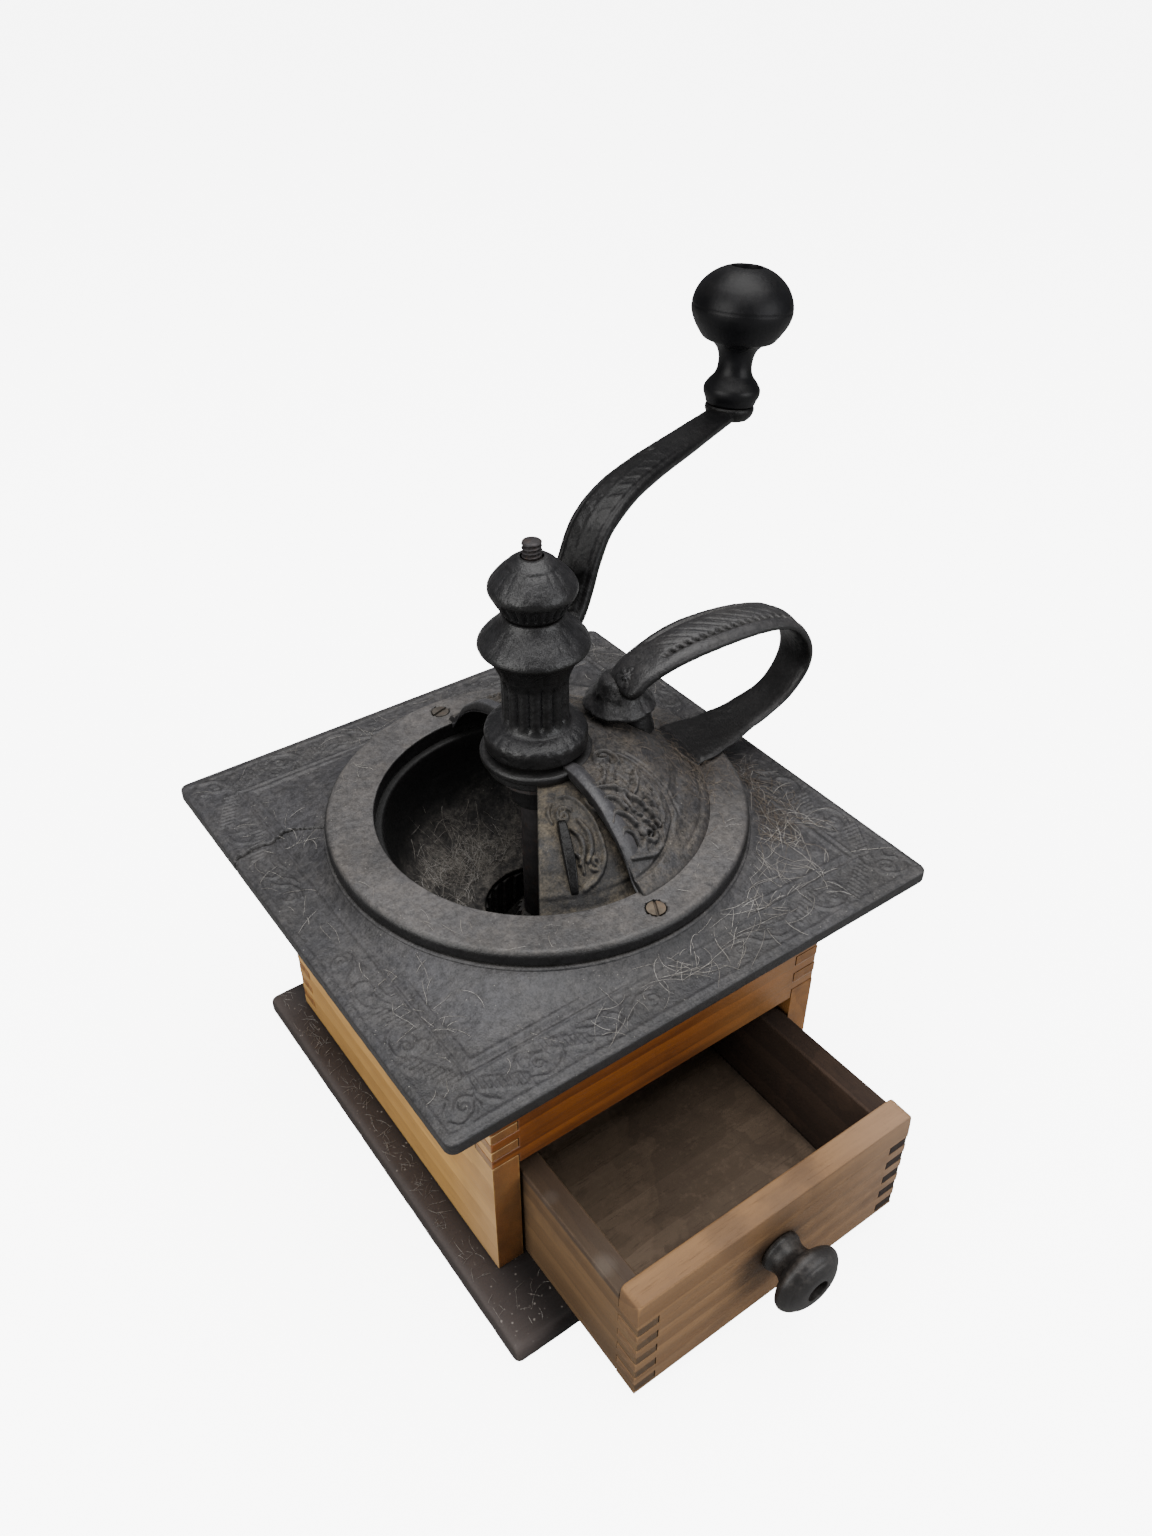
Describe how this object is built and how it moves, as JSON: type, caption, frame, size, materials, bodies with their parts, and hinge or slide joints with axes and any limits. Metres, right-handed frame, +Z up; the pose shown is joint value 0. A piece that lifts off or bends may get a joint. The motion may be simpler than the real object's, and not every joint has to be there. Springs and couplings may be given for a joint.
{
  "type": "coffee mill",
  "caption": "Hand-cranked box coffee mill: wooden case on a base board, cast-iron plate and domed hopper with swinging cover, crank, carry handle and grounds drawer.",
  "frame": {"origin": "on the grinding shaft's vertical axis, at the underside of the base board", "axes": "+Z up along the shaft; -Y is the front, where the drawer pulls out; +X is to the right seen from the front"},
  "size_m": [0.2266, 0.2346, 0.2621],
  "materials": {
    "case_wood": "varnished, worn",
    "drawer_wood": "worn, bare",
    "dark_wood": "stained, matte",
    "base_paint": "black painted, worn",
    "cast_iron": "dusty, satin",
    "cover_iron": "dusty, matte",
    "black_wood": "black, semi-gloss",
    "steel": "dull",
    "burr_iron": "ground",
    "brass": "dull"
  },
  "bodies": {
    "mill": {"box_left_side": "case_wood", "box_right_side": "case_wood", "box_back_panel": "case_wood", "box_front_rail": "case_wood", "base_board": "base_paint", "top_plate": "cast_iron", "hopper_bowl": "cast_iron", "bearing_bridge": "cast_iron", "hopper_dome": "cast_iron", "carry_handle": "cast_iron", "base_screw_1": "steel", "base_screw_2": "steel", "base_screw_3": "steel", "base_screw_4": "steel", "plate_screw_1": "steel", "plate_screw_2": "steel", "plate_screw_3": "steel", "plate_screw_4": "steel", "bridge_screw_left": "steel", "bridge_screw_right": "steel", "cover_collar": "steel", "handle_foot_screw": "steel", "handle_tail_screw": "steel", "thrust_washer": "steel", "outer_burr": "burr_iron", "ring_screw_front": "brass", "ring_screw_back": "brass"},
    "drawer": {"drawer_front": "drawer_wood", "drawer_left_side": "drawer_wood", "drawer_right_side": "drawer_wood", "drawer_back": "dark_wood", "drawer_bottom": "dark_wood", "drawer_knob": "black_wood", "drawer_knob_screw": "steel"},
    "cover": {"sliding_cover": "cover_iron"},
    "crank": {"crank": "cast_iron", "knob_pin": "steel"},
    "knob": {"crank_knob": "black_wood"},
    "nut": {"adjusting_nut": "cast_iron"},
    "shaft": {"main_shaft": "steel", "inner_burr": "burr_iron", "burr_nut": "steel"}
  },
  "joints": [
    {"name": "crank_turn", "type": "hinge", "parent": "mill", "child": "crank", "pos_m": [0, 0, 0.16], "axis": [0, 0, 1], "continuous": true},
    {"name": "knob_spin", "type": "hinge", "parent": "crank", "child": "knob", "pos_m": [0.1166, 0.04854, 0.2168], "axis": [0.1173, 0.0488, 0.9919], "continuous": true},
    {"name": "nut_turn", "type": "hinge", "parent": "crank", "child": "nut", "pos_m": [0, 0, 0.205], "axis": [0, 0, 1], "range_deg": [-270, 300]},
    {"name": "shaft_lift", "type": "slide", "parent": "crank", "child": "shaft", "axis": [0, 0, 1], "range_m": [-0.00105, 0.00095]},
    {"name": "cover_swing", "type": "hinge", "parent": "mill", "child": "cover", "pos_m": [0, 0, 0.143], "axis": [0, 0, 1], "range_deg": [-148, 14]},
    {"name": "drawer_slide", "type": "slide", "parent": "mill", "child": "drawer", "axis": [0, -1, 0], "range_m": [-0.0571, 0.045]}
  ],
  "couplings": [
    {"joint": "nut_turn", "follows": "shaft_lift", "rad_per_m": -4947.4}
  ]
}
